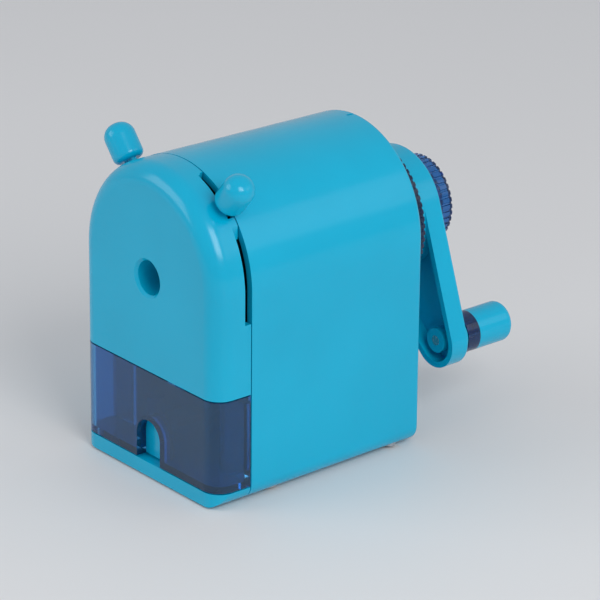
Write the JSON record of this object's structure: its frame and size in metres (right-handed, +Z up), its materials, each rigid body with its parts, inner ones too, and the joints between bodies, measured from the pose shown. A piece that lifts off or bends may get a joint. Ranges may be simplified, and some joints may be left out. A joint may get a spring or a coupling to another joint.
{
  "type": "crank pencil sharpener",
  "caption": "Desk pencil sharpener with a rear crank, two pinch ears on a spring pull-out front, a lead-length dial and a clear front shavings drawer.",
  "frame": {"origin": "middle of the overall footprint, on the table", "axes": "+Z up; the front face with the pencil hole looks along -Y; the crank is at the +Y end; +X is right as seen from the front"},
  "size_m": [0.064, 0.1166, 0.1002],
  "materials": {
    "teal": "moulded, soft gloss",
    "clear_blue": "clear tinted, polished",
    "dark_plastic": "moulded, fine grain",
    "white_plastic": "satin",
    "cast_zinc": "die cast, satin",
    "steel": "bright drawn",
    "cutter_steel": "ground",
    "rubber": "matt"
  },
  "bodies": {
    "root": {"housing_shell": "teal", "base_plate": "teal", "rubber_feet": "rubber", "housing_screws": "steel", "inner_frame": "dark_plastic", "ring_gear": "white_plastic", "bearing_plate": "dark_plastic", "shaft_bush": "white_plastic"},
    "retainer": {"retaining_ring": "clear_blue"},
    "crank": {"cutter_carrier": "cast_zinc", "cutter_axle": "steel", "main_shaft": "steel", "crank_arm": "teal", "knob_pin": "steel", "dial_nut": "clear_blue"},
    "cutter": {"helical_cutter": "cutter_steel", "cutter_pinion": "cutter_steel"},
    "knob": {"crank_knob": "teal", "knob_collar": "clear_blue"},
    "dial": {"lead_dial": "clear_blue"},
    "stop": {"stop_rod": "steel", "stop_cross_pin": "steel"},
    "carriage": {"front_plate": "teal", "chuck_cover": "dark_plastic", "chuck_screws": "steel", "guide_rods": "steel", "rod_clips": "steel", "rod_springs": "steel"},
    "left_ear": {"left_ear_ring": "teal", "jaw_pins": "steel"},
    "right_ear": {"right_ear_ring": "teal"},
    "jaw_1": {"chuck_jaw_1": "steel"},
    "jaw_2": {"chuck_jaw_2": "steel"},
    "jaw_3": {"chuck_jaw_3": "steel"},
    "drawer": {"drawer": "clear_blue", "drawer_pull": "teal"}
  },
  "joints": [
    {"name": "retainer_twist", "type": "hinge", "parent": "root", "child": "retainer", "pos_m": [0, 0.0195, 0.063], "axis": [0, 1, 0], "range_deg": [-25, 0]},
    {"name": "crank_spin", "type": "hinge", "parent": "root", "child": "crank", "pos_m": [0, 0.0195, 0.063], "axis": [0, 1, 0], "continuous": true},
    {"name": "cutter_spin", "type": "hinge", "parent": "crank", "child": "cutter", "pos_m": [0, 0.02902, 0.063], "axis": [0, 0.9863, -0.165], "continuous": true},
    {"name": "knob_spin", "type": "hinge", "parent": "crank", "child": "knob", "pos_m": [0.02333, 0.0398, 0.02748], "axis": [0, 1, 0], "continuous": true},
    {"name": "dial_turn", "type": "hinge", "parent": "crank", "child": "dial", "pos_m": [0, 0.0395, 0.063], "axis": [0, 1, 0], "range_deg": [0, 144]},
    {"name": "stop_slide", "type": "slide", "parent": "crank", "child": "stop", "axis": [0, -1, 0], "range_m": [0, 0.00301]},
    {"name": "carriage_slide", "type": "slide", "parent": "root", "child": "carriage", "axis": [0, -1, 0], "range_m": [0, 0.022], "stiffness_N_per_m": 80, "springref_m": -0.012, "deforming": ["rod_springs"]},
    {"name": "left_ear_pinch", "type": "hinge", "parent": "carriage", "child": "left_ear", "pos_m": [0, -0.0483, 0.063], "axis": [0, 1, 0], "range_deg": [0, 16], "stiffness_Nm_per_rad": 0.02, "springref_deg": -17.19},
    {"name": "right_ear_pinch", "type": "hinge", "parent": "carriage", "child": "right_ear", "pos_m": [0, -0.0443, 0.063], "axis": [0, 1, 0], "range_deg": [-16.01, 0.01]},
    {"name": "jaw_1_swing", "type": "hinge", "parent": "left_ear", "child": "jaw_1", "pos_m": [0, -0.047, 0.076], "axis": [0, 1, 0], "range_deg": [-0.01, 12.81]},
    {"name": "jaw_2_swing", "type": "hinge", "parent": "left_ear", "child": "jaw_2", "pos_m": [0.01126, -0.047, 0.0565], "axis": [0, 1, 0], "range_deg": [-0.01, 12.81]},
    {"name": "jaw_3_swing", "type": "hinge", "parent": "left_ear", "child": "jaw_3", "pos_m": [-0.01126, -0.047, 0.0565], "axis": [0, 1, 0], "range_deg": [-0.01, 12.81]},
    {"name": "drawer_slide", "type": "slide", "parent": "root", "child": "drawer", "axis": [0, -1, 0], "range_m": [0, 0.055]}
  ],
  "couplings": [
    {"joint": "cutter_spin", "follows": "crank_spin", "ratio": -2.75},
    {"joint": "stop_slide", "follows": "dial_turn", "m_per_rad": 0.0011937},
    {"joint": "right_ear_pinch", "follows": "left_ear_pinch", "ratio": -1},
    {"joint": "jaw_1_swing", "follows": "left_ear_pinch", "ratio": 0.8},
    {"joint": "jaw_2_swing", "follows": "left_ear_pinch", "ratio": 0.8},
    {"joint": "jaw_3_swing", "follows": "left_ear_pinch", "ratio": 0.8}
  ]
}
